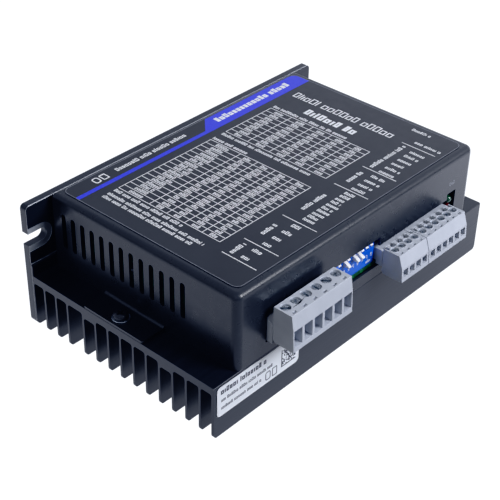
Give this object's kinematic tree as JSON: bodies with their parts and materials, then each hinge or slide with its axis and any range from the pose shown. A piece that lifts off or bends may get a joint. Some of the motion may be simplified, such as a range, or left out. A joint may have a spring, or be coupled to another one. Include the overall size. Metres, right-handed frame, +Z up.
{
  "type": "stepper driver module",
  "caption": "Stepper motor driver: finned L-section heatsink with slotted wall flange, folded cover, pull-off screw terminal plugs, DIP switch, status lamps and tuning port.",
  "frame": {"origin": "centre of the bounding box in X and Y, at the height of the fin tips", "axes": "+X along the row of plugs, power plug at the -X end; -Y is the way the plugs face, the wall flange's back is the +Y end; +Z up, away from the fin tips"},
  "size_m": [0.151, 0.1032, 0.0524],
  "materials": {
    "black_anodised": "black anodised extrusion, satin",
    "black_paint": "smooth black paint on folded sheet, semi-gloss",
    "screw_black": "blackened steel screw",
    "zinc_steel": "zinc plated steel",
    "brass_post": "plain brass",
    "overlay_film": "printed polyester film, fine satin",
    "sticker_film": "white vinyl label",
    "green_board": "green solder mask on glass epoxy",
    "grey_plastic": "light grey moulded polyamide",
    "blue_plastic": "blue moulded plastic",
    "white_plastic": "white moulded plastic",
    "black_plastic": "black moulded plastic",
    "green_lens": "green tinted lamp lens",
    "red_lens": "red tinted lamp lens",
    "cap_sleeve": "dark blue shrink sleeve",
    "winding": "varnished copper winding in tape",
    "grey_pad": "soft thermal pad"
  },
  "bodies": {
    "driver": {"heatsink_base": "black_anodised", "cover": "black_paint", "cover_washer_left": "zinc_steel", "cover_washer_right": "zinc_steel", "cover_screw_left": "screw_black", "cover_screw_right": "screw_black", "top_overlay": "overlay_film", "rating_sticker": "sticker_film", "main_board": "green_board", "board_standoff_1": "brass_post", "board_standoff_2": "brass_post", "board_standoff_3": "brass_post", "board_standoff_4": "brass_post", "board_screw_1": "zinc_steel", "board_screw_2": "zinc_steel", "board_screw_3": "zinc_steel", "board_screw_4": "zinc_steel", "power_header": "grey_plastic", "output_header": "grey_plastic", "signal_header": "grey_plastic", "dip_body": "blue_plastic", "lamp_block": "black_plastic", "lamp_power": "green_lens", "lamp_alarm": "red_lens", "tuning_port": "black_plastic", "bulk_capacitor_1": "cap_sleeve", "bulk_capacitor_2": "cap_sleeve", "bridge_rectifier": "black_plastic", "flyback_transformer": "winding", "choke": "winding", "control_chip": "black_plastic", "power_module": "black_plastic", "thermal_pad": "grey_pad"},
    "power_plug": {"power_plug": "grey_plastic"},
    "power_screw_1": {"power_screw_1": "zinc_steel"},
    "power_screw_2": {"power_screw_2": "zinc_steel"},
    "power_screw_3": {"power_screw_3": "zinc_steel"},
    "power_screw_4": {"power_screw_4": "zinc_steel"},
    "power_screw_5": {"power_screw_5": "zinc_steel"},
    "power_screw_6": {"power_screw_6": "zinc_steel"},
    "output_plug": {"output_plug": "grey_plastic"},
    "output_screw_1": {"output_screw_1": "zinc_steel"},
    "output_screw_2": {"output_screw_2": "zinc_steel"},
    "output_screw_3": {"output_screw_3": "zinc_steel"},
    "output_screw_4": {"output_screw_4": "zinc_steel"},
    "signal_plug": {"signal_plug": "grey_plastic"},
    "signal_screw_1": {"signal_screw_1": "zinc_steel"},
    "signal_screw_2": {"signal_screw_2": "zinc_steel"},
    "signal_screw_3": {"signal_screw_3": "zinc_steel"},
    "signal_screw_4": {"signal_screw_4": "zinc_steel"},
    "signal_screw_5": {"signal_screw_5": "zinc_steel"},
    "signal_screw_6": {"signal_screw_6": "zinc_steel"},
    "dip_slider_1": {"dip_slider_1": "white_plastic"},
    "dip_slider_2": {"dip_slider_2": "white_plastic"},
    "dip_slider_3": {"dip_slider_3": "white_plastic"},
    "dip_slider_4": {"dip_slider_4": "white_plastic"},
    "dip_slider_5": {"dip_slider_5": "white_plastic"},
    "dip_slider_6": {"dip_slider_6": "white_plastic"},
    "dip_slider_7": {"dip_slider_7": "white_plastic"},
    "dip_slider_8": {"dip_slider_8": "white_plastic"}
  },
  "joints": [
    {"name": "power_plug_pull", "type": "slide", "parent": "driver", "child": "power_plug", "axis": [0, -1, 0], "range_m": [0, 0.012]},
    {"name": "power_screw_1_turn", "type": "hinge", "parent": "power_plug", "child": "power_screw_1", "pos_m": [-0.04785, -0.04545, 0.04], "axis": [0, 0, 1], "continuous": true},
    {"name": "power_screw_2_turn", "type": "hinge", "parent": "power_plug", "child": "power_screw_2", "pos_m": [-0.04277, -0.04545, 0.04], "axis": [0, 0, 1], "continuous": true},
    {"name": "power_screw_3_turn", "type": "hinge", "parent": "power_plug", "child": "power_screw_3", "pos_m": [-0.03769, -0.04545, 0.04], "axis": [0, 0, 1], "continuous": true},
    {"name": "power_screw_4_turn", "type": "hinge", "parent": "power_plug", "child": "power_screw_4", "pos_m": [-0.03261, -0.04545, 0.04], "axis": [0, 0, 1], "continuous": true},
    {"name": "power_screw_5_turn", "type": "hinge", "parent": "power_plug", "child": "power_screw_5", "pos_m": [-0.02753, -0.04545, 0.04], "axis": [0, 0, 1], "continuous": true},
    {"name": "power_screw_6_turn", "type": "hinge", "parent": "power_plug", "child": "power_screw_6", "pos_m": [-0.02245, -0.04545, 0.04], "axis": [0, 0, 1], "continuous": true},
    {"name": "output_plug_pull", "type": "slide", "parent": "driver", "child": "output_plug", "axis": [0, -1, 0], "range_m": [0, 0.012]},
    {"name": "output_screw_1_turn", "type": "hinge", "parent": "output_plug", "child": "output_screw_1", "pos_m": [0.01149, -0.04535, 0.0325], "axis": [0, 0, 1], "continuous": true},
    {"name": "output_screw_2_turn", "type": "hinge", "parent": "output_plug", "child": "output_screw_2", "pos_m": [0.01529, -0.04535, 0.0325], "axis": [0, 0, 1], "continuous": true},
    {"name": "output_screw_3_turn", "type": "hinge", "parent": "output_plug", "child": "output_screw_3", "pos_m": [0.01911, -0.04535, 0.0325], "axis": [0, 0, 1], "continuous": true},
    {"name": "output_screw_4_turn", "type": "hinge", "parent": "output_plug", "child": "output_screw_4", "pos_m": [0.02292, -0.04535, 0.0325], "axis": [0, 0, 1], "continuous": true},
    {"name": "signal_plug_pull", "type": "slide", "parent": "driver", "child": "signal_plug", "axis": [0, -1, 0], "range_m": [0, 0.012]},
    {"name": "signal_screw_1_turn", "type": "hinge", "parent": "signal_plug", "child": "signal_screw_1", "pos_m": [0.02782, -0.04535, 0.0325], "axis": [0, 0, 1], "continuous": true},
    {"name": "signal_screw_2_turn", "type": "hinge", "parent": "signal_plug", "child": "signal_screw_2", "pos_m": [0.03164, -0.04535, 0.0325], "axis": [0, 0, 1], "continuous": true},
    {"name": "signal_screw_3_turn", "type": "hinge", "parent": "signal_plug", "child": "signal_screw_3", "pos_m": [0.03544, -0.04535, 0.0325], "axis": [0, 0, 1], "continuous": true},
    {"name": "signal_screw_4_turn", "type": "hinge", "parent": "signal_plug", "child": "signal_screw_4", "pos_m": [0.03925, -0.04535, 0.0325], "axis": [0, 0, 1], "continuous": true},
    {"name": "signal_screw_5_turn", "type": "hinge", "parent": "signal_plug", "child": "signal_screw_5", "pos_m": [0.04306, -0.04535, 0.0325], "axis": [0, 0, 1], "continuous": true},
    {"name": "signal_screw_6_turn", "type": "hinge", "parent": "signal_plug", "child": "signal_screw_6", "pos_m": [0.04688, -0.04535, 0.0325], "axis": [0, 0, 1], "continuous": true},
    {"name": "dip_slider_1_set", "type": "slide", "parent": "driver", "child": "dip_slider_1", "axis": [0, 0.979, 0.204], "range_m": [-0.00245, 0]},
    {"name": "dip_slider_2_set", "type": "slide", "parent": "driver", "child": "dip_slider_2", "axis": [0, 0.979, 0.204], "range_m": [0, 0.00245]},
    {"name": "dip_slider_3_set", "type": "slide", "parent": "driver", "child": "dip_slider_3", "axis": [0, 0.979, 0.204], "range_m": [-0.00245, 0]},
    {"name": "dip_slider_4_set", "type": "slide", "parent": "driver", "child": "dip_slider_4", "axis": [0, 0.979, 0.204], "range_m": [0, 0.00245]},
    {"name": "dip_slider_5_set", "type": "slide", "parent": "driver", "child": "dip_slider_5", "axis": [0, 0.979, 0.204], "range_m": [0, 0.00245]},
    {"name": "dip_slider_6_set", "type": "slide", "parent": "driver", "child": "dip_slider_6", "axis": [0, 0.979, 0.204], "range_m": [-0.00245, 0]},
    {"name": "dip_slider_7_set", "type": "slide", "parent": "driver", "child": "dip_slider_7", "axis": [0, 0.979, 0.204], "range_m": [-0.00245, 0]},
    {"name": "dip_slider_8_set", "type": "slide", "parent": "driver", "child": "dip_slider_8", "axis": [0, 0.979, 0.204], "range_m": [-0.00245, 0]}
  ]
}
